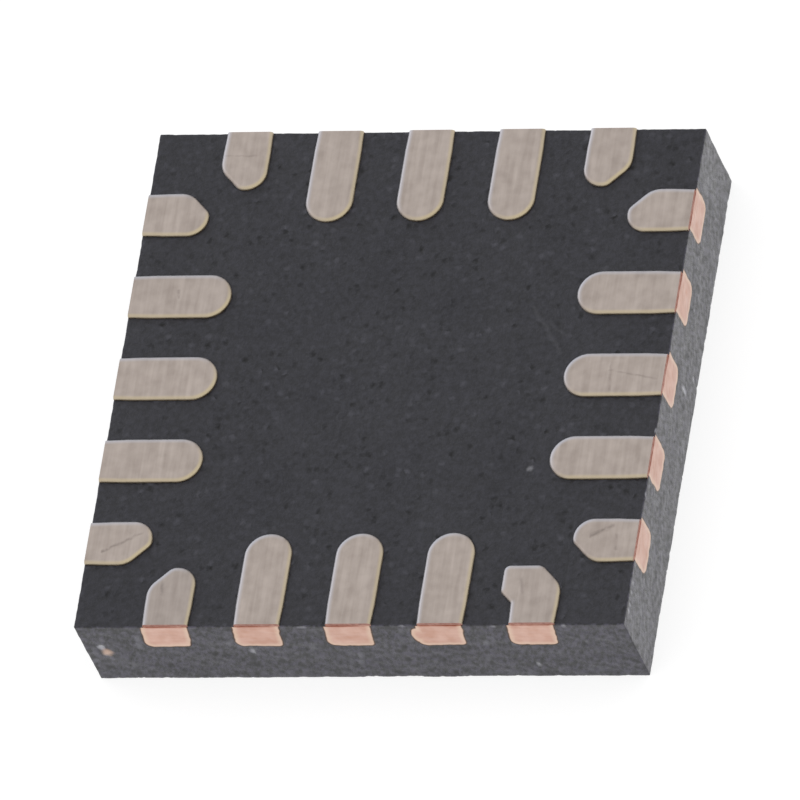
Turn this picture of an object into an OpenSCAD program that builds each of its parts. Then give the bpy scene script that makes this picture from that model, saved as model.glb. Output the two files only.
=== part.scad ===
// Flat no-lead chip package, sawn from a moulded strip, lands facing up.
// The moulded top of the package lies on z = 0 and the lands face +Z.

/* [Package] */
// Side of the square body, saw line to saw line
body_side = 3; // [2.9:0.05:3.2]
// Height of the moulded block
mould_h = 0.53; // [0.48:0.01:0.75]
// Distance between neighbouring terminals
pitch = 0.5; // [0.45:0.01:0.52]

/* [Lands] */
// Length of a middle land from the saw line
land_l = 0.55; // [0.45:0.01:0.6]
// Length of a corner land from the saw line
corner_land_l = 0.35; // [0.32:0.01:0.4]
// Width of a land
land_w = 0.26; // [0.24:0.01:0.3]
// Width of the lead where the saw cuts it
neck_w = 0.25; // [0.18:0.01:0.26]
// Distance from the saw line in which the neck widens to the land
neck_l = 0.12; // [0.05:0.01:0.16]
// Cut across the side of a corner land that faces the corner
corner_cut = 0.12; // [0.08:0.01:0.13]
// Radius where that cut meets the side of the land
cut_r = 0.12; // [0.04:0.01:0.14]
// Radius where that cut meets the tip
tip_r = 0.06; // [0.02:0.01:0.08]
// Radius on the other side of a corner land's tip
corner_r = 0.11; // [0.05:0.01:0.12]
// How far the head of the first land reaches past its neck
key_reach = 0.07; // [0.03:0.01:0.1]
// Distance from the saw line to the head of the first land
key_from = 0.12; // [0.08:0.01:0.15]
// Radius on the head of the first land
key_r = 0.035; // [0.01:0.005:0.05]
// Thickness of the tin, which is also the stand-off
plating_t = 0.02; // [0.005:0.005:0.05]

/* [Lead frame] */
// Thickness of the copper strip
frame_t = 0.2; // [0.15:0.01:0.22]
// Thickness left where the strip is half etched
tail_t = 0.1; // [0.06:0.01:0.14]
// Width of the half-etched tails
tail_w = 0.16; // [0.1:0.01:0.2]
// How far the centre tails reach in under the die
tail_overlap = 0.4; // [0.2:0.01:0.55]
// Gap kept between the tails of two sides
etch_gap = 0.08; // [0.05:0.01:0.1]
// Half-etched lock at the side of a corner lead
lock_w = 0.06; // [0.03:0.01:0.08]

/* [Die] */
// Side of the square die
die_side = 1.6; // [1.3:0.05:1.7]
// Thickness of the ground die
die_t = 0.15; // [0.1:0.01:0.18]
// Thickness of the film that holds the die on the leads
attach_t = 0.02; // [0.01:0.005:0.03]
// Distance of the bond pads from the edge of the die
pad_inset = 0.08; // [0.05:0.01:0.12]
// Distance between neighbouring bond pads
pad_pitch = 0.28; // [0.15:0.01:0.3]

/* [Bond wires] */
// Wire diameter
wire_d = 0.02; // [0.015:0.001:0.025]
// Diameter of the squashed ball on the pad
ball_d = 0.05; // [0.035:0.001:0.06]
// Height of the squashed ball
ball_h = 0.012; // [0.008:0.001:0.02]
// Height of the top of the loop above the die, to the middle of the wire
loop_h = 0.08; // [0.06:0.005:0.1]
// Distance of the stitch from the tip of the land
stitch_inset = 0.12; // [0.08:0.01:0.16]

/* [Part] */
// Piece to draw, or "all"

/* [Hidden] */
$fn = 64;

// Terminals on each side, and in all
per_side = 5;
count = 4 * per_side;

// Levels in the stack, from the moulded top up to the lands
lead_z = mould_h - frame_t;
die_z = lead_z - attach_t - die_t;

// How far a cutting copy runs past the faces that it breaks
past = 0.1;

// Tips of the tails, measured from the saw line
centre_tip = body_side / 2 - die_side / 2 + tail_overlap;
outer_tip = body_side / 2 - pitch - tail_w / 2 - etch_gap;

mould_grey = [0.25, 0.25, 0.27];
copper = [0.79, 0.65, 0.58];
tin = [0.67, 0.62, 0.59];
silicon = [0.42, 0.44, 0.5];
film = [0.86, 0.8, 0.62];
wire_copper = [0.8, 0.5, 0.32];

function two(n) = str(n < 10 ? "0" : "", n);
function terminal_name(n) = str("terminal_", two(n));
function wire_name(n) = str("bond_wire_", two(n));

// Terminal n counts clockwise over the lands, from the right end of the front side
function side_of(n) = floor((n - 1) / per_side);
function steps_of(n) = (per_side - 1) / 2 - (n - 1) % per_side;
function is_corner(n) = abs(steps_of(n)) == (per_side - 1) / 2;
function land_length(n) = is_corner(n) ? corner_land_l : land_l;
function tail_tip(n) = steps_of(n) == 0 ? centre_tip : outer_tip;

// Where a wire leaves the die and where it lands, seen from its own terminal
function pad_at(n) = [-steps_of(n) * (pitch - pad_pitch), body_side / 2 - die_side / 2 + pad_inset];
function stitch_at(n) = [0, land_length(n) - stitch_inset];

// Puts a child at terminal n: X along the side, Y in from the saw line
module at_terminal(n) {
    rotate([0, 0, -90 * side_of(n)])
        translate([steps_of(n) * pitch, -body_side / 2, 0])
            children();
}

// Strip of lead from the saw line to the length given, with its narrower neck
module lead_strip(length, over) {
    polygon([
        [-neck_w / 2, -over],
        [neck_w / 2, -over],
        [neck_w / 2, 0],
        [land_w / 2, neck_l],
        [land_w / 2, length],
        [-land_w / 2, length],
        [-land_w / 2, neck_l],
        [-neck_w / 2, 0]
    ]);
}

// Strip with a round end, its tip at the length given
module round_strip(width, from, length) {
    translate([-width / 2, from])
        square([width, length - width / 2 - from]);
    translate([0, length - width / 2])
        circle(d = width);
}

module middle_outline(over) {
    lead_strip(land_l - land_w / 2, over);
    round_strip(land_w, neck_l, land_l);
}

// Cutter that rounds off a corner of 135 degrees, whose middle line runs in along -X
module round_off(r) {
    half = 67.5;
    reach = r / tan(half);
    difference() {
        translate([-reach * cos(half), -reach * sin(half)])
            square([reach * cos(half) + r, 2 * reach * sin(half)]);
        translate([-r / sin(half), 0])
            circle(r = r);
    }
}

// Cutter for the cut across the +X side of a corner land's tip, with its ends rounded
module cut_across() {
    translate([land_w / 2, corner_land_l])
        rotate(45)
            square([corner_cut * sqrt(2), 2 * corner_cut * sqrt(2)], center = true);
    translate([land_w / 2 - corner_cut, corner_land_l])
        rotate(67.5)
            round_off(tip_r);
    translate([land_w / 2, corner_land_l - corner_cut])
        rotate(22.5)
            round_off(cut_r);
}

// The cut faces +X here, and the tip is round on the other side
module corner_outline(over) {
    difference() {
        lead_strip(corner_land_l, over);
        cut_across();
        translate([-land_w / 2, corner_land_l])
            difference() {
                square(2 * corner_r, center = true);
                translate([corner_r, -corner_r])
                    circle(r = corner_r);
                translate([corner_r, -3 * corner_r])
                    square([2 * corner_r, 6 * corner_r]);
                translate([-3 * corner_r, -3 * corner_r])
                    square([6 * corner_r, 2 * corner_r]);
            }
    }
}

// Land of the first terminal: a corner land whose head steps out past the neck
module first_outline(over) {
    left = -neck_w / 2 - key_reach;
    difference() {
        union() {
            lead_strip(corner_land_l, over);
            polygon([
                [-neck_w / 2, key_from],
                [0, key_from],
                [0, corner_land_l],
                [left + key_r, corner_land_l],
                [left, corner_land_l - key_r],
                [left, key_from + key_reach]
            ]);
            translate([left + key_r, corner_land_l - key_r])
                circle(r = key_r);
        }
        cut_across();
        translate([left, key_from + key_reach])
            rotate(-157.5)
                round_off(key_r);
    }
}

// Outline of land n, run out past the saw line by the length given
module land_outline(n, over = 0) {
    if (n == 1)
        first_outline(over);
    else if (!is_corner(n))
        middle_outline(over);
    else if (steps_of(n) > 0)
        corner_outline(over);
    else
        mirror([1, 0])
            corner_outline(over);
}

// Half-etched copper behind land n: a tail under the die, or a lock at the side
module etched_outline(n) {
    if (!is_corner(n))
        round_strip(tail_w, land_l - land_w, tail_tip(n));
    else if (n > 1)
        translate([steps_of(n) > 0 ? -land_w / 2 - lock_w : 0, neck_l])
            square([land_w / 2 + lock_w, corner_land_l - corner_r - neck_l]);
}

// Copper of lead n; with over it becomes the cutter for its pocket
module lead(n, over = 0) {
    at_terminal(n)
        translate([0, 0, lead_z]) {
            linear_extrude(frame_t + over)
                land_outline(n, over);
            linear_extrude(tail_t)
                etched_outline(n);
        }
}

// Depth below the die's face of the centre of the arc that a wire follows:
// the arc passes through the pad and the stitch, and its top is loop_h above the pad
function arc_depth(reach, drop) =
    let (far = reach * reach + drop * drop)
    let (b = far * drop + 2 * reach * reach * loop_h)
    let (c = far * far / 4 - reach * reach * loop_h * loop_h)
    (b - sqrt(b * b - 4 * drop * drop * c)) / (2 * drop * drop);

// Squashed ball and looped wire, upright, from a pad at the origin to a stitch
module wire_form(reach, drop) {
    depth = arc_depth(reach, drop);
    arc_r = loop_h + depth;
    arc_x = sqrt(arc_r * arc_r - depth * depth);
    over = 2 * wire_d;
    cylinder(d = ball_d, h = ball_h);
    difference() {
        translate([arc_x, 0, -depth])
            rotate([90, 0, 0])
                rotate_extrude()
                    translate([arc_r, 0])
                        circle(d = wire_d);
        translate([arc_x - arc_r - over, -over, -depth - arc_r - over])
            cube([arc_r + over, 2 * over, depth + arc_r + over]);
        translate([arc_x - over, -over, -depth - arc_r - over])
            cube([arc_r + 2 * over, 2 * over, depth + arc_r + over - drop]);
    }
}

// Wire n, turned over because the face of the die looks down
module wire(n) {
    from = pad_at(n);
    to = stitch_at(n);
    way = to - from;
    at_terminal(n)
        translate([from[0], from[1], die_z])
            rotate([0, 0, atan2(way[1], way[0])])
                mirror([0, 0, 1])
                    wire_form(norm(way), lead_z - die_z);
}

// Square block centred on the package, between two levels
module square_block(side, z0, z1) {
    translate([-side / 2, -side / 2, z0])
        cube([side, side, z1 - z0]);
}

module terminal(n) {
    color(copper)
        lead(n);
}

module bond_wire(n) {
    color(wire_copper)
        wire(n);
}

module land_plating() {
    color(tin)
        for (n = [1:count])
            at_terminal(n)
                translate([0, 0, mould_h])
                    linear_extrude(plating_t)
                        land_outline(n);
}

module die() {
    color(silicon)
        square_block(die_side, die_z, die_z + die_t);
}

module die_attach() {
    color(film)
        square_block(die_side, lead_z - attach_t, lead_z);
}

// Epoxy block, moulded round everything else and sawn through the leads
module mould_body() {
    color(mould_grey)
        difference() {
            square_block(body_side, 0, mould_h);
            square_block(die_side, die_z, lead_z);
            for (n = [1:count]) {
                lead(n, past);
                wire(n);
            }
        }
}

mould_body();
land_plating();
die();
die_attach();
for (n = [1:count]) {
    terminal(n);
    bond_wire(n);
}
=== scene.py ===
"""Flat no-lead chip, lands up: sawn epoxy block, tin lands, bare copper lead ends.

Lengths in this file are in millimetres until a mesh or a lamp is made.
"""
import math

import bpy
import numpy as np
from mathutils import Matrix, Vector


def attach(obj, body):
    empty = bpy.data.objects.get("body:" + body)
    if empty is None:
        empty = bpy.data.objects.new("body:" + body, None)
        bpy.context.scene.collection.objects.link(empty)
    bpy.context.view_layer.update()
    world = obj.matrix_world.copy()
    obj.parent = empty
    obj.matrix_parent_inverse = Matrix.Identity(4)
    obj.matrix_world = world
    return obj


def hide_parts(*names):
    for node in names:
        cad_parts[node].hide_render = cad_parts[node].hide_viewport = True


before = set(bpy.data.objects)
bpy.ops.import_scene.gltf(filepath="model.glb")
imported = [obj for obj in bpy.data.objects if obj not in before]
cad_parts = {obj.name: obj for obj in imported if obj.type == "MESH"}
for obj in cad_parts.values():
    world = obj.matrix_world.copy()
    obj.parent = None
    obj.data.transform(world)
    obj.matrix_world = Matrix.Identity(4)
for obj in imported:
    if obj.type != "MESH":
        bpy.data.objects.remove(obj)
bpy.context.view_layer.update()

MM = 0.001

# Sizes of the part, as in its source
BODY = 3.0
HALF = BODY / 2
MOULD_H = 0.53
TIN_T = 0.02
FRAME_T = 0.2
LEAD_Z = MOULD_H - FRAME_T
PITCH = 0.5
PER_SIDE = 5
COUNT = 4 * PER_SIDE
LAND_L = 0.55
CORNER_L = 0.35
LAND_W = 0.26
NECK_W = 0.25
NECK_L = 0.12
CORNER_CUT = 0.12
CUT_R = 0.12
TIP_R = 0.06
CORNER_R = 0.11
KEY_REACH = 0.07
KEY_FROM = 0.12
KEY_R = 0.035

# Fine shape that only shows close up
RIM_IN = 0.018      # width of the rounded rim of the tin
RIM_UP = 0.015      # height of that rim
LIT_RIM_HIGHLIGHT_REACH = 0.013   # how far the painted bluish highlight on the rims that face the lamp runs on over the flat top
FAR_RIM_HIGHLIGHT_REACH = 0.004   # and the painted yellowish highlight on the rims that face away
EDGE_R = 0.004      # worn edges of the sawn block
BAND = 0.05         # strip of the land face that is meshed with the sides
GRID = 0.01         # mesh step on the sawn sides
SAW_OUT = 0.002     # the sawn skin stands this far outside the ends of the leads
SHADOW_LINE = 0.01    # width of the painted shadow line round a sawn lead
CHIP_IN = 0.03      # how far a chipped edge is worn in over a face
CHIP_DOWN = 0.02    # and down a side
SHARP = 35.0        # edges that turn by more degrees than this stay sharp

# Chips along the edge by the lands and along the lower edge: number and greatest depth
EDGE_CHIPS = [(200, 0.0016), (240, 0.004)]

# Copper dragged along by the blade, by side from the front clockwise:
# shift at the top, lean, radius of the lower corner at the start and at the end of the side
DRAG = [(-0.010, -0.12, 0.05, 0.02), (-0.018, -0.03, 0.05, 0.05),
        (0.010, 0.12, 0.02, 0.05), (0.018, 0.03, 0.05, 0.05)]
# Copper smeared past the border of a lead: terminal, across, level, half sizes
SMEARS = {2: (-0.135, 0.43, 0.045, 0.07)}

# Lands whose tin is duller than the rest: terminal and share
DULL = {1: 0.4, 5: 1.0, 9: 0.2}

# Stretch of the torn grain of the sawn sides, longer down the side and leaning: shift for each step in level
TEAR = (-0.16, 0.28, -0.5)

# Hair scratches and a pale fleck on the land face: from, to, width and strength
FACE_SCRATCHES = [((0.72, 0.42), (0.91, 0.145), 0.018, 0.045), ((0.815, 0.335), (0.91, 0.25), 0.015, 0.03),
                  ((0.845, -0.558), (0.857, -0.558), 0.018, 0.4)]
# Scratches on the lands: from, to, width and strength
LAND_SCRATCHES = [((-1.41, -1.055), (-1.21, -0.945), 0.011, 0.5), ((1.25, -0.98), (1.36, -0.92), 0.016, 0.5),
                  ((1.39, -0.98), (1.40, -1.06), 0.012, 0.3), ((1.20, 0.02), (1.46, -0.03), 0.009, 0.3),
                  ((1.20, 0.07), (1.22, -0.10), 0.010, 0.2), ((0.905, -1.21), (0.928, -1.32), 0.013, 0.3),
                  ((-1.046, -1.245), (-1.04, -1.32), 0.012, 0.4),
                  ((-1.24, 0.535), (-1.235, 0.49), 0.012, 0.4),
                  ((-1.12, 1.355), (-0.935, 1.353), 0.009, 0.25)]
# Pale marks on the sawn sides, chips and, along the top edges, painted highlights on the ragged edge: side
# (quarter turns from the front), along, level, half sizes and strength
PALE_CHIPS_AND_HIGHLIGHTS = [(0, -1.408, 0.32, 0.022, 0.028, 0.9), (0, -0.59, 0.277, 0.018, 0.03, 0.7),
              (0, 0.93, 0.125, 0.014, 0.024, 0.6), (0, -0.26, 0.515, 0.03, 0.012, 0.35),
              (0, 0.29, 0.518, 0.02, 0.012, 0.35), (0, 0.785, 0.51, 0.014, 0.012, 0.35),
              (0, 1.17, 0.512, 0.012, 0.02, 0.4),
              (1, -1.395, 0.485, 0.012, 0.025, 0.9), (1, -1.355, 0.485, 0.010, 0.02, 0.7),
              (1, -1.288, 0.49, 0.010, 0.018, 0.6), (1, -1.23, 0.49, 0.010, 0.02, 0.7),
              (1, -0.716, 0.52, 0.02, 0.012, 0.6), (1, -0.33, 0.522, 0.02, 0.012, 0.5),
              (1, 0.104, 0.195, 0.02, 0.035, 0.9), (1, 0.24, 0.075, 0.014, 0.025, 0.8)]
BARED_GRAINS = [(0, -1.386, 0.275, 0.03, 0.04, 0.9)]


def linear(code):
    """sRGB hex colour to linear RGBA."""
    s = np.array([int(code[i:i + 2], 16) for i in (1, 3, 5)]) / 255
    return (*np.where(s <= 0.04045, s / 12.92, ((s + 0.055) / 1.055) ** 2.4).tolist(), 1.0)


def add(tree, kind, inputs=None, **settings):
    """Adds a node, sets its properties and fills or links its sockets."""
    made = tree.nodes.new("ShaderNode" + kind)
    for key, value in settings.items():
        setattr(made, key, value)
    for key, value in (inputs or {}).items():
        if isinstance(value, bpy.types.NodeSocket):
            tree.links.new(value, made.inputs[key])
        else:
            made.inputs[key].default_value = value
    return made


def waves(points, shortest, longest, seed, count=48):
    """Random relief of unit spread: a sum of plane waves in all directions, lengths in millimetres."""
    rng = np.random.default_rng(seed)
    way = rng.normal(size=(count, 3))
    way /= np.linalg.norm(way, axis=1)[:, None]
    length = shortest * (longest / shortest) ** rng.random(count)
    phase = rng.random(count) * 2 * np.pi
    return np.cos(points @ (way * (2 * np.pi / length)[:, None]).T + phase).sum(1) * math.sqrt(2 / count)


def bumps(at, places, widths, heights, length):
    """Highest of a closed row of round-topped bumps, heights * (1 - (d / width)^2)^2, at each position."""
    d = at[:, None] - places[None, :]
    d = (d + length / 2) % length - length / 2
    r = np.clip(1 - (d / widths[None, :]) ** 2, 0, None)
    return (heights[None, :] * r * r).max(1)


def weld(points, faces, values):
    """Joins points that coincide; a face keeps each corner once and is dropped if fewer than three remain."""
    key = np.round(points * 1e6).astype(np.int64)
    _, first, where = np.unique(key, axis=0, return_index=True, return_inverse=True)
    sizes = np.array([len(f) for f in faces])
    face = np.repeat(np.arange(len(faces)), sizes)
    corner = where.ravel()[np.concatenate(faces)]
    start = np.r_[0, np.cumsum(sizes)[:-1]]
    before = np.arange(len(corner)) - 1
    before[start] = start + sizes - 1
    keep = corner != corner[before]
    sizes = np.bincount(face[keep], minlength=len(faces))
    kept = sizes > 2
    rings = np.split(corner[keep & kept[face]], np.cumsum(sizes[kept])[:-1])
    return points[first], rings, {k: v[first] for k, v in values.items()}, kept


def piece(name, points, faces, materials, kinds=None, values=None):
    """Puts welded points in millimetres into a mesh at the origin, with a material index for each face."""
    points, faces, values, kept = weld(np.asarray(points, float), faces, values or {})
    mesh = bpy.data.meshes.new(name)
    mesh.from_pydata((points * MM).tolist(), [], faces)
    for m in materials:
        mesh.materials.append(m)
    if kinds is not None:
        mesh.polygons.foreach_set("material_index", np.asarray(kinds, np.int32)[kept])
    for key, value in values.items():
        mesh.attributes.new(key, "FLOAT", "POINT").data.foreach_set("value", value.astype(np.float32))
    mesh.polygons.foreach_set("use_smooth", np.ones(len(faces), bool))
    mesh.set_sharp_from_angle(angle=math.radians(SHARP))
    mesh.update()
    made = bpy.data.objects.new(name, mesh)
    bpy.context.scene.collection.objects.link(made)
    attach(made, "root")
    return made


# Terminals: count clockwise over the lands from the right end of the front side

def steps_of(n):
    """Place of terminal n along its side, in pitches from the middle."""
    return (PER_SIDE - 1) / 2 - (n - 1) % PER_SIDE


def turn(uv, quarter):
    """Turns points given on the front side by quarter turns."""
    c, s = [(1, 0), (0, 1), (-1, 0), (0, -1)][quarter % 4]
    return np.stack([c * uv[..., 0] - s * uv[..., 1], s * uv[..., 0] + c * uv[..., 1]], -1)


def to_body(uv, n):
    """From a terminal's own plane (along the side, in from the saw line) to the body's."""
    return turn(np.stack([uv[..., 0] + steps_of(n) * PITCH, uv[..., 1] - HALF], -1), -((n - 1) // PER_SIDE))


def rounded(corners):
    """Open path through (u, v, radius) corners, each turned by an arc tangent to both its sides."""
    p = np.array([c[:2] for c in corners], float)
    straight = 1.56     # half angle of a corner that needs no arc
    path = [p[:1]]
    for i in range(1, len(p) - 1):
        r = corners[i][2]
        a, b = p[i - 1] - p[i], p[i + 1] - p[i]
        a, b = a / np.linalg.norm(a), b / np.linalg.norm(b)
        half = math.acos(float(np.clip(a @ b, -1, 1))) / 2
        if r == 0 or half > straight:
            path.append(p[i:i + 1])
            continue
        reach = r / math.tan(half)
        middle = p[i] + (a + b) / np.linalg.norm(a + b) * r / math.sin(half)
        one, two = p[i] + a * reach - middle, p[i] + b * reach - middle
        sweep = math.pi - 2 * half
        t = np.linspace(0, sweep, 3 + int(18 * sweep))[:, None]
        path.append(middle + (np.sin(sweep - t) * one + np.sin(t) * two) / math.sin(sweep))
    path.append(p[-1:])
    return np.concatenate(path)


def spaced(path, step):
    """The same open path with its points an even step apart."""
    s = np.r_[0, np.cumsum(np.linalg.norm(np.diff(path, axis=0), axis=1))]
    t = np.linspace(0, s[-1], int(round(s[-1] / step)) + 1)
    return np.stack([np.interp(t, s, path[:, 0]), np.interp(t, s, path[:, 1])], -1)


def land_path(n):
    """Outline of land n from the saw line round the tip and back, in its own plane."""
    w, k = LAND_W / 2, NECK_W / 2
    step = steps_of(n)
    cut = [(w - CORNER_CUT, CORNER_L, TIP_R), (w, CORNER_L - CORNER_CUT, CUT_R), (w, NECK_L, 0), (k, 0, 0)]
    if n == 1:
        left = -k - KEY_REACH
        path = rounded([(-k, 0, 0), (-w, KEY_FROM + w - k, KEY_R / 2), (left, KEY_FROM + KEY_REACH, KEY_R),
                        (left, CORNER_L, KEY_R), *cut])
    elif abs(step) == (PER_SIDE - 1) / 2:
        path = rounded([(-k, 0, 0), (-w, NECK_L, 0), (-w, CORNER_L, CORNER_R), *cut])
        if step < 0:
            path = (path * (-1, 1))[::-1]
    else:
        a = np.linspace(np.pi, 0, 41)
        tip = np.stack([w * np.cos(a), LAND_L - w + w * np.sin(a)], -1)
        path = np.concatenate([[(-k, 0), (-w, NECK_L)], tip, [(w, NECK_L), (k, 0)]])
    return path


def inset(path, far):
    """Moves an open path to its right by a distance, mitred; its two ends slide along the saw line."""
    e = np.diff(path, axis=0)
    e /= np.linalg.norm(e, axis=1)[:, None]
    nrm = np.stack([e[:, 1], -e[:, 0]], -1)
    mid = nrm[1:] + nrm[:-1]
    mid /= (1 + (nrm[1:] * nrm[:-1]).sum(1))[:, None]
    ends = np.array([[1 / nrm[0, 0], 0], [1 / nrm[-1, 0], 0]])
    return path + far * np.concatenate([ends[:1], mid, ends[1:]])


# Materials

EPOXY_IOR = 1.5
# Relief of torn epoxy, for a Bump node
TORN_RELIEF = {"Strength": 0.5, "Distance": 0.0018 * MM}
# Tints of the tin: attribute, colour and strength. The dull tint is duller tin; the others are painted light:
# highlights on the rims and dark shadow lines at their foot
TIN_TINTS = [("dull", "#7e7a7a", 0.18), ("lit_rim_highlight", "#bcbfca", 0.85), ("far_rim_highlight", "#cabb98", 0.8),
             ("lit_foot_shadow", "#2e2b3c", 0.95), ("far_foot_shadow", "#6e4a26", 0.95)]


def shader(name):
    """New material with its tree, its shader and the Object coordinates in millimetres."""
    made = bpy.data.materials.new(name)
    made.use_nodes = True
    tree = made.node_tree
    metres = add(tree, "TexCoord").outputs["Object"]
    at = add(tree, "VectorMath", {0: metres, 3: 1 / MM}, operation="SCALE").outputs[0]
    return made, tree, tree.nodes["Principled BSDF"], at


def scratch(tree, at, start, end, width):
    """Mask of a straight scratch: 1 on the line from start to end, 0 at the width from it."""
    way = Vector(end) - Vector(start)
    off = add(tree, "VectorMath", {0: at, 1: start}, operation="SUBTRACT")
    dot = add(tree, "VectorMath", {0: off.outputs[0], 1: way / way.length_squared}, operation="DOT_PRODUCT")
    share = add(tree, "Clamp", {0: dot.outputs["Value"]})
    foot = add(tree, "VectorMath", {0: tuple(way), 3: share.outputs[0]}, operation="SCALE")
    gap = add(tree, "VectorMath", {0: off.outputs[0], 1: foot.outputs[0]}, operation="DISTANCE")
    return add(tree, "MapRange", {0: gap.outputs["Value"], 1: 0.0, 2: width, 3: 1.0, 4: 0.0}).outputs[0]


def wavering(tree, at, size, amount):
    """Coordinates moved sideways a little by noise, so that straight marks waver."""
    noise = add(tree, "TexNoise", {"Vector": at, "Scale": 1 / size, "Detail": 3.0})
    shift = add(tree, "VectorMath", {0: noise.outputs["Color"], 1: (0.5, 0.5, 0.5)}, operation="SUBTRACT")
    flat = add(tree, "VectorMath", {0: shift.outputs[0], 1: (amount, amount, 0.0)}, operation="MULTIPLY")
    return add(tree, "VectorMath", {0: at, 1: flat.outputs[0]}, operation="ADD").outputs[0]


def tones(tree, value, low, high, dark, light):
    """Colour that runs from dark to light as a value goes from low to high."""
    share = add(tree, "MapRange", {0: value, 1: low, 2: high}).outputs[0]
    return add(tree, "Mix", {0: share, 6: linear(dark), 7: linear(light)}, data_type="RGBA").outputs[2]


def overlay(tree, base, mask, colour, amount):
    """Lays a colour over a base colour where a mask is 1, as strongly as the amount says."""
    part = add(tree, "Math", {0: mask, 1: amount}, operation="MULTIPLY")
    return add(tree, "Mix", {0: part.outputs[0], 6: base, 7: linear(colour)}, data_type="RGBA").outputs[2]


def specks(tree, at, spacing, near, far):
    """Masks of pale and of dark specks, each on its share of the cells, that fade out from near to far."""
    cells = add(tree, "TexVoronoi", {"Vector": wavering(tree, at, 0.025, 0.04), "Scale": 1 / spacing})
    kind = add(tree, "SeparateColor", {0: cells.outputs["Color"]}).outputs[0]
    spot = add(tree, "MapRange", {0: cells.outputs["Distance"], 1: near, 2: far, 3: 1.0, 4: 0.0}).outputs[0]
    masks = []
    pale_share, dark_share = (0.7, 1.0), (0.4, 0.0)
    for none, full in (pale_share, dark_share):
        share = add(tree, "MapRange", {0: kind, 1: none, 2: full}).outputs[0]
        masks.append(add(tree, "Math", {0: share, 1: spot}, operation="MULTIPLY").outputs[0])
    return masks


def moulded_epoxy():
    """Carbon-black filled epoxy off a polished mould: dark, faintly speckled, pits painted black as shade,
    soft sheen, hair scratches.
    """
    made, tree, bsdf, at = shader("epoxy_moulded")
    fine = add(tree, "TexNoise", {"Vector": at, "Scale": 1 / 0.03, "Roughness": 0.75, "Detail": 4}).outputs[0]
    cloud = add(tree, "TexNoise", {"Vector": at, "Scale": 1 / 0.4, "Detail": 3.0}).outputs[0]
    tone = tones(tree, fine, 0.38, 0.67, "#050511", "#22222c")
    pale, shaded_pit = specks(tree, at, 0.045, 0.05, 0.5)
    # the pits are painted black as shade
    tone = overlay(tree, overlay(tree, tone, pale, "#4c4c56", 0.45), shaded_pit, "#000001", 1.0)
    marks = wavering(tree, at, 0.06, 0.05)
    for start, end, width, amount in FACE_SCRATCHES:
        mark = scratch(tree, marks, (*start, MOULD_H), (*end, MOULD_H), width)
        tone = overlay(tree, tone, mark, "#a0a0a6", amount)
    tree.links.new(tone, bsdf.inputs["Base Color"])
    # the pits are painted shade: black colour and a share of black metal take the gloss out of a pit, which
    # is too small to be hollow here
    swallowed = add(tree, "Math", {0: shaded_pit, 1: 0.45}, operation="MULTIPLY").outputs[0]
    tree.links.new(swallowed, bsdf.inputs["Metallic"])
    rough = add(tree, "MapRange", {0: cloud, 1: 0.3, 2: 0.7, 3: 0.48, 4: 0.58})
    tree.links.new(rough.outputs[0], bsdf.inputs["Roughness"])
    height = add(tree, "Math", {0: shaded_pit, 1: -0.3, 2: fine}, operation="MULTIPLY_ADD")
    relief = add(tree, "Bump", {"Height": height.outputs[0], "Strength": 1.0, "Distance": 0.008 * MM})
    tree.links.new(relief.outputs[0], bsdf.inputs["Normal"])
    bsdf.inputs["IOR"].default_value = EPOXY_IOR
    return made


def sawn_look(tree, at):
    """Colour, roughness and height of epoxy cut by a diamond blade: torn dark matrix, pale filler, pits
    painted dark as shade.
    """
    level = add(tree, "SeparateXYZ", {0: at}).outputs["Z"]
    tear = add(tree, "VectorMath", {0: TEAR, 3: level}, operation="SCALE").outputs[0]
    torn = add(tree, "VectorMath", {0: at, 1: tear}, operation="ADD").outputs[0]
    grain = add(tree, "TexNoise", {"Vector": torn, "Scale": 1 / 0.025, "Roughness": 0.6}).outputs[0]
    tone = tones(tree, grain, 0.37, 0.65, "#080810", "#3f3c4b")
    pale, shaded_pit = specks(tree, torn, 0.05, 0.1, 0.5)
    # the pits are darkened as painted shade
    tone = overlay(tree, overlay(tree, tone, pale, "#64646c", 0.7), shaded_pit, "#020204", 0.9)
    height = add(tree, "Math", {0: shaded_pit, 1: -0.4, 2: grain}, operation="MULTIPLY_ADD").outputs[0]
    rough = add(tree, "MapRange", {0: height, 1: 0.0, 2: 0.65, 3: 0.45, 4: 0.2}).outputs[0]
    return tone, rough, height


def sawn_epoxy():
    """The epoxy of the sawn sides, paler where an edge has chipped and with painted highlights on its ragged
    top edges, tan on the grain that the blade bared.
    """
    made, tree, bsdf, at = shader("epoxy_sawn")
    tone, rough, height = sawn_look(tree, at)
    # chip: pale chipped epoxy and painted highlights on the ragged edges; bared: tan grain
    for key, colour, amount in (("chip", "#b4b4bc", 0.85), ("bared", "#cfae98", 0.9)):
        tone = overlay(tree, tone, add(tree, "Attribute", attribute_name=key).outputs["Fac"], colour, amount)
    tree.links.new(tone, bsdf.inputs["Base Color"])
    tree.links.new(rough, bsdf.inputs["Roughness"])
    bsdf.inputs["IOR"].default_value = EPOXY_IOR
    relief = add(tree, "Bump", {"Height": height, **TORN_RELIEF})
    tree.links.new(relief.outputs[0], bsdf.inputs["Normal"])
    return made


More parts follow.
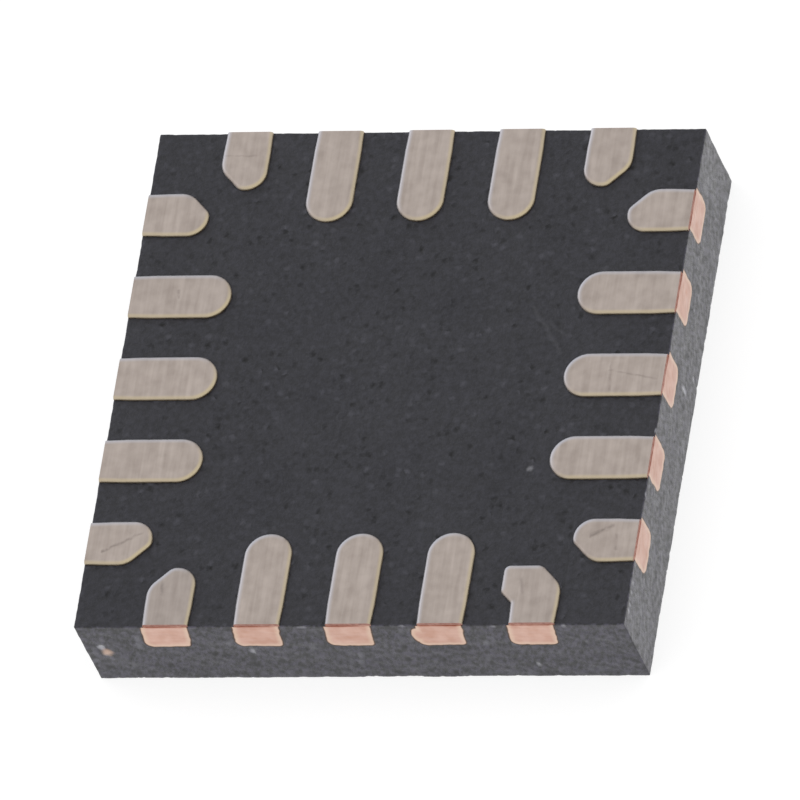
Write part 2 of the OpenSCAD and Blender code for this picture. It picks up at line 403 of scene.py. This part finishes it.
def matt_tin():
    """Matt electroplated tin over rolled strip: grey with a faintly brown cast and fine rolling lines along
    Y.

    The rim carries painted light: a pale bluish highlight on the side that faces the lamp, a yellowish
    highlight on the other side, and a dark painted shadow line at its foot. The lines are drawn coarser than
    real ones so that they show.
    """
    made, tree, bsdf, at = shader("tin_plated_matt")
    long = add(tree, "VectorMath", {0: at, 1: (1.0, 0.08, 1.0)}, operation="MULTIPLY").outputs[0]
    line = add(tree, "TexNoise", {"Vector": long, "Scale": 1 / 0.028, "Detail": 4.0}).outputs[0]
    cloud = add(tree, "TexNoise", {"Vector": at, "Scale": 1 / 0.07, "Detail": 4.0}).outputs[0]
    both = add(tree, "Math", {0: line, 1: 0.8, 2: cloud}, operation="MULTIPLY_ADD").outputs[0]
    tone = tones(tree, both, 0.62, 1.18, "#9d928b", "#b5aaa3")
    marks = wavering(tree, at, 0.05, 0.03)
    worn = add(tree, "TexNoise", {"Vector": at, "Scale": 1 / 0.05, "Detail": 2.0}).outputs[0]
    worn = add(tree, "MapRange", {0: worn, 1: 0.3, 2: 0.55}).outputs[0]
    for start, end, width, amount in LAND_SCRATCHES:
        mark = scratch(tree, marks, (*start, MOULD_H + TIN_T), (*end, MOULD_H + TIN_T), width)
        mark = add(tree, "Math", {0: mark, 1: worn}, operation="MULTIPLY").outputs[0]
        tone = overlay(tree, tone, mark, "#5f5652", amount)
    for key, colour, amount in TIN_TINTS:
        tone = overlay(tree, tone, add(tree, "Attribute", attribute_name=key).outputs["Fac"], colour, amount)
    tree.links.new(tone, bsdf.inputs["Base Color"])
    bsdf.inputs["Metallic"].default_value = 1.0
    rough = add(tree, "MapRange", {0: cloud, 1: 0.3, 2: 0.7, 3: 0.42, 4: 0.55})
    tree.links.new(rough.outputs[0], bsdf.inputs["Roughness"])
    relief = add(tree, "Bump", {"Height": both, "Strength": 0.4, "Distance": 0.001 * MM})
    tree.links.new(relief.outputs[0], bsdf.inputs["Normal"])
    return made


def cut_tin():
    """Sawn edge of the tin, dragged over with copper, and darkened as painted shade of the rounded cut edge.
    """
    made, tree, bsdf, at = shader("tin_sawn_edge")
    smear_and_shade = add(tree, "TexNoise", {"Vector": at, "Scale": 1 / 0.02, "Detail": 2.0}).outputs[0]
    tree.links.new(tones(tree, smear_and_shade, 0.3, 0.7, "#9a6f64", "#b88c80"), bsdf.inputs["Base Color"])
    bsdf.inputs["Metallic"].default_value = 0.8
    bsdf.inputs["Roughness"].default_value = 0.6
    return made


def copper_tone(tree, at):
    """Colour of bare copper: pinkish, with faint lines along the cut, coarser than real so that they show."""
    long = add(tree, "VectorMath", {0: at, 1: (0.15, 0.15, 1.0)}, operation="MULTIPLY").outputs[0]
    line = add(tree, "TexNoise", {"Vector": long, "Scale": 1 / 0.02, "Detail": 2.0}).outputs[0]
    cloud = add(tree, "TexNoise", {"Vector": at, "Scale": 1 / 0.08, "Detail": 2.0}).outputs[0]
    both = add(tree, "Math", {0: line, 1: 0.4, 2: cloud}, operation="MULTIPLY_ADD").outputs[0]
    return tones(tree, both, 0.5, 0.9, "#c69b89", "#d6b1a2")


def bare_copper():
    """Copper of the leads as it is inside the epoxy."""
    made, tree, bsdf, at = shader("copper_etched")
    tree.links.new(copper_tone(tree, at), bsdf.inputs["Base Color"])
    bsdf.inputs["Metallic"].default_value = 1.0
    bsdf.inputs["Roughness"].default_value = 0.3
    return made


def sawn_copper():
    """Copper lead end cut flush with the epoxy, with painted light: redder painted shade at the top, and a
    pale painted highlight and a dark painted shadow line at its border.
    """
    made, tree, bsdf, at = shader("copper_sawn")
    tone = copper_tone(tree, at)
    level = add(tree, "SeparateXYZ", {0: at}).outputs["Z"]
    # painted shade: a darker, redder band under the top edge, where the rounded edge turns away from the
    # light
    top = add(tree, "MapRange", {0: level, 1: MOULD_H - 0.018, 2: MOULD_H - 0.006}).outputs[0]
    tone = overlay(tree, tone, top, "#b07c6e", 0.8)
    inside = add(tree, "Attribute", attribute_name="inside").outputs["Fac"]
    # painted highlight: a pale band just inside the border, where the burr catches the light
    burr_highlight = add(tree, "MapRange", {0: inside, 1: 0.03, 2: 0.01, 3: 0.0, 4: 1.0}).outputs[0]
    tone = overlay(tree, tone, burr_highlight, "#e0c8b2", 0.55)
    # painted shadow: a dark line along the border of the copper
    line = add(tree, "MapRange", {0: inside, 1: 0.003, 2: -0.003, 3: 0.0, 4: 1.0}).outputs[0]
    tone = overlay(tree, tone, line, "#38271e", 0.95)
    metal = add(tree, "MapRange", {0: inside, 1: -SHADOW_LINE, 2: -SHADOW_LINE / 2}).outputs[0]
    bare = add(tree, "MapRange", {0: inside, 1: -SHADOW_LINE, 2: -SHADOW_LINE / 2, 3: 1.0, 4: 0.0}).outputs[0]
    epoxy, rough, height = sawn_look(tree, at)
    tone = add(tree, "Mix", {0: metal, 6: epoxy, 7: tone}, data_type="RGBA").outputs[2]
    rough = add(tree, "Mix", {0: metal, 2: rough, 3: 0.3}).outputs[0]
    height = add(tree, "Math", {0: height, 1: bare}, operation="MULTIPLY").outputs[0]
    tree.links.new(tone, bsdf.inputs["Base Color"])
    tree.links.new(metal, bsdf.inputs["Metallic"])
    tree.links.new(rough, bsdf.inputs["Roughness"])
    relief = add(tree, "Bump", {"Height": height, **TORN_RELIEF})
    tree.links.new(relief.outputs[0], bsdf.inputs["Normal"])
    return made


def inner(name, dark, light, grain, metallic, roughness):
    """Plain two-tone material for the sealed pieces, mottled at the grain size given."""
    made, tree, bsdf, at = shader(name)
    mottle = add(tree, "TexNoise", {"Vector": at, "Scale": 1 / grain, "Detail": 3.0}).outputs[0]
    tree.links.new(tones(tree, mottle, 0.3, 0.7, dark, light), bsdf.inputs["Base Color"])
    bsdf.inputs["Metallic"].default_value = metallic
    bsdf.inputs["Roughness"].default_value = roughness
    return made


EPOXY, SAWN = moulded_epoxy(), sawn_epoxy()
TIN, TIN_EDGE = matt_tin(), cut_tin()
COPPER, COPPER_CUT = bare_copper(), sawn_copper()
SILICON = inner("silicon_ground", "#565a66", "#6c707c", 0.02, 0.0, 0.35)
FILM = inner("adhesive_film_cured", "#cfc08c", "#e0d3a6", 0.05, 0.0, 0.6)
WIRE = inner("copper_wire_drawn", "#b4714a", "#c98a62", 0.01, 1.0, 0.3)


# Epoxy block

def saw_line():
    """Columns round the body, anticlockwise from above: place, outward way and the terminal cut there."""
    k = NECK_W / 2
    mids = (np.arange(PER_SIDE) - (PER_SIDE - 1) / 2) * PITCH
    stops = np.r_[-HALF + EDGE_R, np.sort(np.r_[mids - k, mids + k]), HALF - EDGE_R]
    u = np.concatenate([np.linspace(a, b, int(round((b - a) / GRID)), endpoint=False)
                        for a, b in zip(stops, stops[1:])])
    inside = np.abs(u[:, None] - mids[None, :]) < k - 1e-9
    starts = np.abs(u[:, None] - (mids - k)[None, :]) < 1e-9
    slot = np.where((inside | starts).any(1), (inside | starts).argmax(1), -1)
    a = np.linspace(-np.pi / 2, 0, 4, endpoint=False)
    edge_way = np.stack([np.cos(a), np.sin(a)], -1)
    edge = (HALF - EDGE_R) * np.array([1, -1]) + EDGE_R * edge_way
    place = np.concatenate([np.stack([u, np.full_like(u, -HALF)], -1), edge])
    way = np.concatenate([np.tile([0.0, -1.0], (len(u), 1)), edge_way])
    slot = np.r_[slot, np.full(len(a), -1)]
    terminal = [np.where(slot < 0, 0, ((-q) % 4) * PER_SIDE + PER_SIDE - slot) for q in range(4)]
    places = np.concatenate([turn(place, q) for q in range(4)])
    ways = np.concatenate([turn(way, q) for q in range(4)])
    return places, ways, np.concatenate(terminal)


def side_profile():
    """Section of the block's edge, land face to moulded top down the sawn side: steps in and levels."""
    upper_rows, lower_rows = 21, 34
    a = np.linspace(0, np.pi / 2, 4)
    step_in = np.r_[BAND, 0.028, 0.014, EDGE_R * (1 - np.sin(a))]
    level = np.r_[MOULD_H, MOULD_H, MOULD_H, MOULD_H - EDGE_R * (1 - np.cos(a))]
    down = np.r_[np.linspace(MOULD_H - EDGE_R, LEAD_Z, upper_rows)[1:],
                 np.linspace(LEAD_Z, EDGE_R, lower_rows)[1:-1]]
    return (np.r_[step_in, np.zeros(len(down)), step_in[::-1]],
            np.r_[level, down, MOULD_H - level[::-1]])


def side_relief(points):
    """Height of the sawn sides over their mean: fine waves on long ones, with the deepest hollows filled."""
    rough = 0.0004 * waves(points, 0.03, 0.08, 3) + 0.0008 * waves(points, 0.12, 0.5, 4)
    return np.clip(rough, -0.8 * SAW_OUT, None)


def block_skin():
    """Sawn block with a pocket for each lead: the edge section carried round the saw line, worn and chipped.

    Stepping in from the saw line clips the square to a smaller one. The sides stand out by SAW_OUT and are
    roughened by two ranges of waves, and bumps of random length take the chips out of the edges.
    """
    place, way, terminal = saw_line()
    step_in, level = side_profile()
    rows, cols = len(level), len(place)
    lead_row = int(np.argmin(np.abs(level - LEAD_Z)))
    xy = np.clip(place[:, None, :], -(HALF - step_in)[None, :, None], (HALF - step_in)[None, :, None])
    grid = np.concatenate([xy, np.broadcast_to(level[None, :, None], (cols, rows, 1))], -1)

    # the necks of the leads widen inwards, so the columns at their edges lean with them
    along = np.stack([-way[:, 1], way[:, 0]], -1)
    first = (terminal > 0) & (np.roll(terminal, 1) != terminal)
    last = (terminal == 0) & (np.roll(terminal, 1) > 0)
    above_lead = level > LEAD_Z + 1e-6
    lean = (LAND_W - NECK_W) / 2 / NECK_L * step_in * above_lead
    grid[first, :, :2] -= along[first][:, None, :] * lean[None, :, None]
    grid[last, :, :2] += along[last][:, None, :] * lean[None, :, None]

    rng = np.random.default_rng(11)
    girth = 4 * BODY
    s = np.r_[0, np.cumsum(np.linalg.norm(np.diff(place, axis=0), axis=1))]
    chips = []
    for count, deep in EDGE_CHIPS:
        widths = 0.006 + 0.03 * rng.random(count) ** 2
        heights = deep * rng.random(count) ** 2 + 0.0005
        chips.append(bumps(s, rng.random(count) * girth, widths, heights, girth))
    rough = side_relief(grid.reshape(-1, 3)).reshape(cols, rows)
    on_side = np.clip(1 - step_in / 0.012, 0, 1)
    near_edge = np.clip(1 - step_in / CHIP_IN, 0, 1)
    top_fall = np.clip(1 - (MOULD_H - level) / CHIP_DOWN, 0, 1) ** 2 * near_edge
    low_fall = np.clip(1 - level / CHIP_DOWN, 0, 1) ** 2 * near_edge
    chip = chips[0][:, None] * top_fall[None, :] + chips[1][:, None] * low_fall[None, :]
    out = (rough + SAW_OUT) * on_side[None, :] - chip
    grid[..., :2] += way[:, None, :] * out[..., None]
    grid[..., 2] += chips[1][:, None] * low_fall * 0.6 - chips[0][:, None] * top_fall * 0.6
    grid[..., 2] = np.clip(grid[..., 2], 0, MOULD_H)
    # pale where an edge is chipped deep: chipped epoxy and painted highlight on the ragged edge
    pale = 0.3 * np.clip((chip - 0.0012) / 0.002, 0, 1)
    bared = np.zeros_like(pale)
    quarter = np.repeat(np.arange(4), cols // 4)
    along_side = (place * along).sum(1)
    ragged = 0.12 * waves(grid.reshape(-1, 3), 0.03, 0.08, 5).reshape(cols, rows)
    for marks, mask, deep in ((PALE_CHIPS_AND_HIGHLIGHTS, pale, -0.003), (BARED_GRAINS, bared, 0.003)):
        for side, u, z, half_u, half_z, strength in marks:
            far = np.hypot((along_side[:, None] - u) / half_u, (level[None, :] - z) / half_z) + ragged
            spot = np.clip(1.6 * (1.1 - far), 0, 1) * (quarter == side)[:, None]
            mask[:] = np.maximum(mask, strength * spot)
            grid[..., :2] += way[:, None, :] * (deep * spot)[..., None]

    points = [grid.reshape(-1, 3)]
    values = [np.stack([pale, bared], -1).reshape(-1, 2)]
    i, k = np.meshgrid(np.arange(cols), np.arange(rows - 1), indexing="ij")
    j = (i + 1) % cols
    quads = np.stack([i * rows + k, i * rows + k + 1, j * rows + k + 1, j * rows + k], -1)
    keep = ~((terminal[:, None] > 0) & (np.arange(rows - 1)[None, :] < lead_row))
    face_rows = np.broadcast_to(np.arange(rows - 1)[None, :], (cols, rows - 1))[keep]
    faces = list(quads[keep])
    edge_rows = 3
    kinds = np.where((face_rows < edge_rows) | (face_rows >= rows - 1 - edge_rows), 0, 1).tolist()

    base = cols * rows
    rim, done = [], 0
    for c0, c1 in zip(np.flatnonzero(first), np.flatnonzero(last)):
        n = int(terminal[c0])
        path = spaced(land_path(n), 0.012)
        xy = to_body(path[path[:, 1] > BAND + 0.004], n)
        top = np.c_[xy, np.full(len(xy), MOULD_H)]
        low = np.c_[xy, np.full(len(xy), LEAD_Z)]
        ends = grid[[c0, c1], 0] * (1, 1, 0) + (0, 0, LEAD_Z)
        t = base + np.arange(len(xy))
        ring_t = np.r_[c0 * rows, t, c1 * rows]
        ring_b = np.r_[base + 2 * len(xy), t + len(xy), base + 2 * len(xy) + 1]
        walls = list(np.stack([ring_t[:-1], ring_b[:-1], ring_b[1:], ring_t[1:]], -1))
        walls.append(np.r_[c0 * rows + np.arange(lead_row + 1), ring_b[0]])
        walls.append(np.r_[c1 * rows, ring_b[-1], c1 * rows + np.arange(lead_row, 0, -1)])
        walls.append(np.r_[np.arange(c0, c1 + 1) * rows + lead_row, ring_b[::-1]])
        points += [top, low, ends]
        values.append(np.zeros((2 * len(xy) + 2, 2)))
        faces += walls
        kinds += [0] * len(walls)
        rim += [np.arange(done, c0 + 1) * rows, t]
        base, done = base + 2 * len(xy) + 2, c1
    faces.append(np.concatenate([*rim, np.arange(done, cols) * rows]))
    faces.append(np.arange(cols)[::-1] * rows + rows - 1)
    kinds += [0, 0]
    values = np.concatenate(values)
    made = piece("mould_block", np.concatenate(points), faces, [EPOXY, SAWN], kinds,
                 {"chip": values[:, 0], "bared": values[:, 1]})
    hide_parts("mould_body")


# Tin

def tin_lands():
    """Tin on each land: a quarter-round rim carried round the outline, a flat top and a sawn end."""
    a = np.linspace(0, np.pi / 2, 7)
    low = np.linspace(0, TIN_T - RIM_UP, 3)[:-1]
    rim_in = np.r_[0 * low, RIM_IN * (1 - np.cos(a)), RIM_IN + 0.005, RIM_IN + LIT_RIM_HIGHLIGHT_REACH]
    rim_up = np.r_[low, TIN_T - RIM_UP + RIM_UP * np.sin(a), TIN_T, TIN_T]
    lit_rim_highlight = np.clip(1 - (rim_in - RIM_IN / 2) / (RIM_IN / 2 + LIT_RIM_HIGHLIGHT_REACH), 0, 1)
    far_rim_highlight = np.clip(1 - (rim_in - RIM_IN / 2) / (RIM_IN / 2 + FAR_RIM_HIGHLIGHT_REACH), 0, 1)
    foot = np.clip(1 - rim_up / (TIN_T / 2), 0, 1)
    # painted light: each rim gets a highlight tint by the way it faces the lamp, bluish towards it and
    # yellowish away, and a painted shadow line at its foot
    light = np.array([-1.0, 1.0]) / math.sqrt(2)
    points, faces, kinds, tints, base = [], [], [], [], 0
    for n in range(1, COUNT + 1):
        path = spaced(land_path(n), 0.007)
        rings = np.stack([np.c_[to_body(inset(path, far), n), np.full(len(path), MOULD_H + up)]
                          for far, up in zip(rim_in, rim_up)], 1)
        outward = rings[:, 0, :2] - rings[:, -1, :2]
        facing = outward @ light / np.linalg.norm(outward, axis=1)
        lit, away = np.clip(facing, 0, 1), np.clip(-facing, 0, 1)
        dull = np.full(len(path), DULL.get(n, 0.0))
        pairs = (dull, np.ones_like(lit_rim_highlight)), (lit, lit_rim_highlight), (away, far_rim_highlight), (lit, foot), (away, foot)
        tints.append([np.outer(along, across).ravel() for along, across in pairs])
        m, r = rings.shape[:2]
        i, k = np.meshgrid(np.arange(m - 1), np.arange(r - 1), indexing="ij")
        at = base + i * r + k
        quads = np.stack([at, at + 1, at + r + 1, at + r], -1).reshape(-1, 4)
        end = np.r_[base + np.arange(r), base + (m - 1) * r + np.arange(r)[::-1]]
        top = base + np.arange(m)[::-1] * r + r - 1
        low = base + np.arange(m) * r
        points.append(rings.reshape(-1, 3))
        faces += list(quads[:, ::-1]) + [top, low, end]
        kinds += [0] * (len(quads) + 2) + [1]
        base += m * r
    made = piece("tin_lands", np.concatenate(points), faces, [TIN, TIN_EDGE], kinds,
                 dict(zip([key for key, _, _ in TIN_TINTS], np.concatenate(tints, 1))))
    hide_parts("land_plating")


# Copper

def lead_ends():
    """Sawn end of each lead, flush with the epoxy round it.

    A sheet on a grid follows the relief of the sawn skin, stands a hair proud of it over the lead and dips
    behind it further out. Its attribute is the distance inside the copper's border: a rectangle with round
    lower corners, leaning the way the blade drags, made ragged by waves and widened by smears. A flat back
    closes the sheet.
    """
    step, margin, proud, dip, thick = 0.005, 0.055, 0.0003, 0.004, 0.02
    u = np.linspace(-NECK_W / 2 - margin, NECK_W / 2 + margin, int(round((NECK_W + 2 * margin) / step)) + 1)
    z = np.arange(LEAD_Z - margin, MOULD_H - 0.004, step)
    U, Z = np.meshgrid(u, z, indexing="ij")
    a, b = U.shape
    i, k = np.meshgrid(np.arange(a - 1), np.arange(b - 1), indexing="ij")
    at = (i * b + k).ravel()
    quads = np.stack([at, at + b, at + b + 1, at + 1], -1)
    ring = np.r_[np.arange(b), np.arange(1, a) * b + b - 1, (a - 1) * b + np.arange(b - 1)[::-1],
                 np.arange(a - 1)[:0:-1] * b]
    back = a * b + np.arange(len(ring))
    walls = np.stack([ring, np.roll(ring, -1), np.roll(back, -1), back], -1)
    points, faces, depth = [], [], []
    for n in range(1, COUNT + 1):
        flat = np.c_[to_body(np.c_[U.ravel(), np.zeros(U.size)], n), Z.ravel()]
        edge = 0.0015 * waves(flat, 0.05, 0.2, 20 + n) + 0.0004 * waves(flat, 0.02, 0.05, 60 + n)
        edge = edge.reshape(U.shape)
        shift, lean, start_r, end_r = DRAG[(n - 1) // PER_SIDE]
        middle = U - shift - lean * (MOULD_H - Z)
        corner = np.where(middle < 0, start_r, end_r)
        across = np.abs(middle) - NECK_W / 2 + corner
        below = LEAD_Z + corner - Z
        outside = np.hypot(np.clip(across, 0, None), np.clip(below, 0, None))
        inside = corner - outside - np.clip(np.maximum(across, below), None, 0) + edge
        if n in SMEARS:
            su, sz, hu, hz = SMEARS[n]
            inside = np.maximum(inside, hu * (1 - np.hypot((U - su) / hu, (Z - sz) / hz)) + edge)
        lead = np.minimum(NECK_W / 2 - np.abs(U), Z - LEAD_Z)
        cover = np.maximum(inside + SHADOW_LINE, lead + 0.004)
        out = SAW_OUT + side_relief(flat).reshape(U.shape) + np.clip(0.3 * cover, -dip, proud)
        front = np.c_[to_body(np.c_[U.ravel(), -out.ravel()], n), Z.ravel()]
        rear = np.c_[to_body(np.c_[U.ravel(), np.full(U.size, thick)], n), Z.ravel()][ring]
        base = (n - 1) * (a * b + len(ring))
        points += [front, rear]
        depth += [inside.ravel(), inside.ravel()[ring]]
        faces += list(base + quads) + list(base + walls) + [base + back]
    piece("sawn_lead_ends", np.concatenate(points), faces, [COPPER_CUT],
          values={"inside": np.concatenate(depth)})


def node_material(name):
    """Material of a CAD node, from its name."""
    if name.startswith("terminal"):
        return COPPER
    if name.startswith("bond_wire"):
        return WIRE
    return {"die": SILICON, "die_attach": FILM, "land_plating": TIN}.get(name, EPOXY)


block_skin()
tin_lands()
lead_ends()

for name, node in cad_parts.items():
    node.data.materials.clear()
    node.data.materials.append(node_material(name))


# Stage: white table, white surroundings, one soft lamp from behind on the left

def white_table():
    """Large white floor that shows white to the camera and keeps a faint shadow."""
    half_side = 300
    mesh = bpy.data.meshes.new("table")
    r = half_side * MM
    mesh.from_pydata([(-r, -r, 0), (r, -r, 0), (r, r, 0), (-r, r, 0)], [], [(0, 1, 2, 3)])
    made = bpy.data.objects.new("table", mesh)
    bpy.context.scene.collection.objects.link(made)
    material = bpy.data.materials.new("table_white")
    material.use_nodes = True
    tree = material.node_tree
    tree.nodes.clear()
    path = add(tree, "LightPath")
    seen = path.outputs["Is Camera Ray"]
    for ray in ("Is Glossy Ray", "Is Transmission Ray"):
        seen = add(tree, "Math", {0: seen, 1: path.outputs[ray]}, operation="MAXIMUM").outputs[0]
    paint = add(tree, "BsdfDiffuse", {"Color": linear("#e6e6e6")})
    thin = add(tree, "BsdfDiffuse", {"Color": linear("#9c9c9c")})
    glow = add(tree, "Emission", {"Color": (1, 1, 1, 1), "Strength": 0.75})
    bright = add(tree, "AddShader", {0: thin.outputs[0], 1: glow.outputs[0]})
    both = add(tree, "MixShader", {0: seen, 1: paint.outputs[0], 2: bright.outputs[0]})
    add(tree, "OutputMaterial", {"Surface": both.outputs[0]})
    mesh.materials.append(material)


def white_room():
    """World of even white, as inside a light tent."""
    world = bpy.data.worlds.new("white_room")
    bpy.context.scene.world = world
    world.use_nodes = True
    world.node_tree.nodes["Background"].inputs["Color"].default_value = (1, 1, 1, 1)
    world.node_tree.nodes["Background"].inputs["Strength"].default_value = 1.0


def lamp(name, azimuth, elevation, far, size, watts):
    """Square white lamp at a distance from the part, in millimetres, turned to face it."""
    a, e = math.radians(azimuth), math.radians(elevation)
    back = Vector((math.sin(a) * math.cos(e), -math.cos(a) * math.cos(e), math.sin(e)))
    data = bpy.data.lights.new(name, "AREA")
    data.size = size * MM
    data.energy = watts
    made = bpy.data.objects.new(name, data)
    made.location = back * far * MM
    made.rotation_euler = back.to_track_quat("Z", "Y").to_euler()
    bpy.context.scene.collection.objects.link(made)


def camera():
    """Long-lens camera placed by its bearing, height and roll, with the part a little off the middle."""
    azimuth, elevation, roll, far = 31.73, 54.97, -27.34, 160.0
    pixels_per_mm, width, sensor = 191.13, 800, 36.0
    off_right, off_down = 3.8, 3.4
    a, e, r = (math.radians(x) for x in (azimuth, elevation, roll))
    back = Vector((math.sin(a) * math.cos(e), -math.cos(a) * math.cos(e), math.sin(e)))
    right = Vector((math.cos(a), math.sin(a), 0))
    up = back.cross(right)
    right, up = math.cos(r) * right + math.sin(r) * up, math.cos(r) * up - math.sin(r) * right
    data = bpy.data.cameras.new("camera")
    data.sensor_width = sensor
    data.lens = pixels_per_mm * far / width * sensor
    data.clip_start, data.clip_end = 10 * MM, 1000 * MM
    made = bpy.data.objects.new("camera", data)
    aim = Vector((0, 0, MOULD_H / 2)) + (up * off_down - right * off_right) / pixels_per_mm
    place = Matrix((right, up, back)).transposed().to_4x4()
    place.translation = (aim + back * far) * MM
    made.matrix_world = place
    bpy.context.scene.collection.objects.link(made)
    bpy.context.scene.camera = made


white_table()
white_room()
lamp("key", azimuth=240, elevation=32, far=120, size=60, watts=0.012)
camera()
bpy.context.scene.view_settings.view_transform = "Standard"
